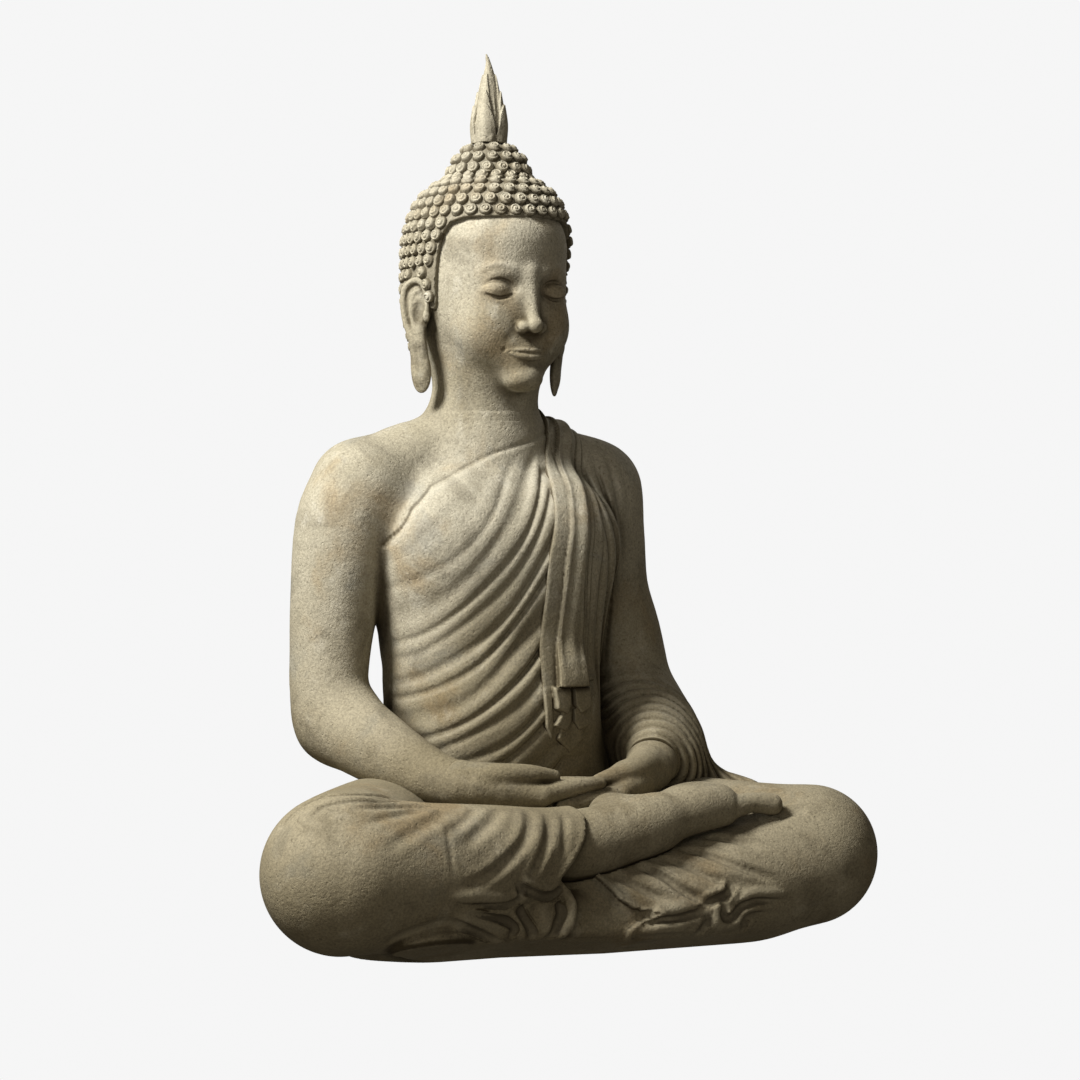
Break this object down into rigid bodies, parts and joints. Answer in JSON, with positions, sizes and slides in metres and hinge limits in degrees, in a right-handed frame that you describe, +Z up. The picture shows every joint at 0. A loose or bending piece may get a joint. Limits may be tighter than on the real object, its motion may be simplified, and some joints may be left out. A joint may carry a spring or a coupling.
{
  "type": "seated buddha statue",
  "caption": "Seated meditating figure in weathered cast stone, cross-legged with hands in the lap, built in pinned sections.",
  "frame": {"origin": "on the flat underside, straight below the tip of the flame finial", "axes": "+Z up; the figure faces -Y, so its left is at +X"},
  "size_m": [0.646, 0.3712, 0.8798],
  "materials": {
    "cast_stone": "weathered, fine grain, matt",
    "stainless_steel": "turned bar"
  },
  "bodies": {
    "root": {"lap": "cast_stone", "right_foot": "cast_stone", "torso": "cast_stone", "sash": "cast_stone", "right_arm": "cast_stone", "left_arm": "cast_stone", "right_hand": "cast_stone", "left_hand": "cast_stone", "head": "cast_stone", "hair_cap": "cast_stone", "flame_finial": "cast_stone", "neck_dowel": "stainless_steel", "finial_dowel": "stainless_steel", "waist_dowel_left": "stainless_steel", "waist_dowel_right": "stainless_steel", "shoulder_dowel_left": "stainless_steel", "shoulder_dowel_right": "stainless_steel", "wrist_dowel_left": "stainless_steel", "wrist_dowel_right": "stainless_steel", "foot_dowel": "stainless_steel", "lifting_socket_left": "stainless_steel", "lifting_socket_right": "stainless_steel"}
  },
  "joints": []
}
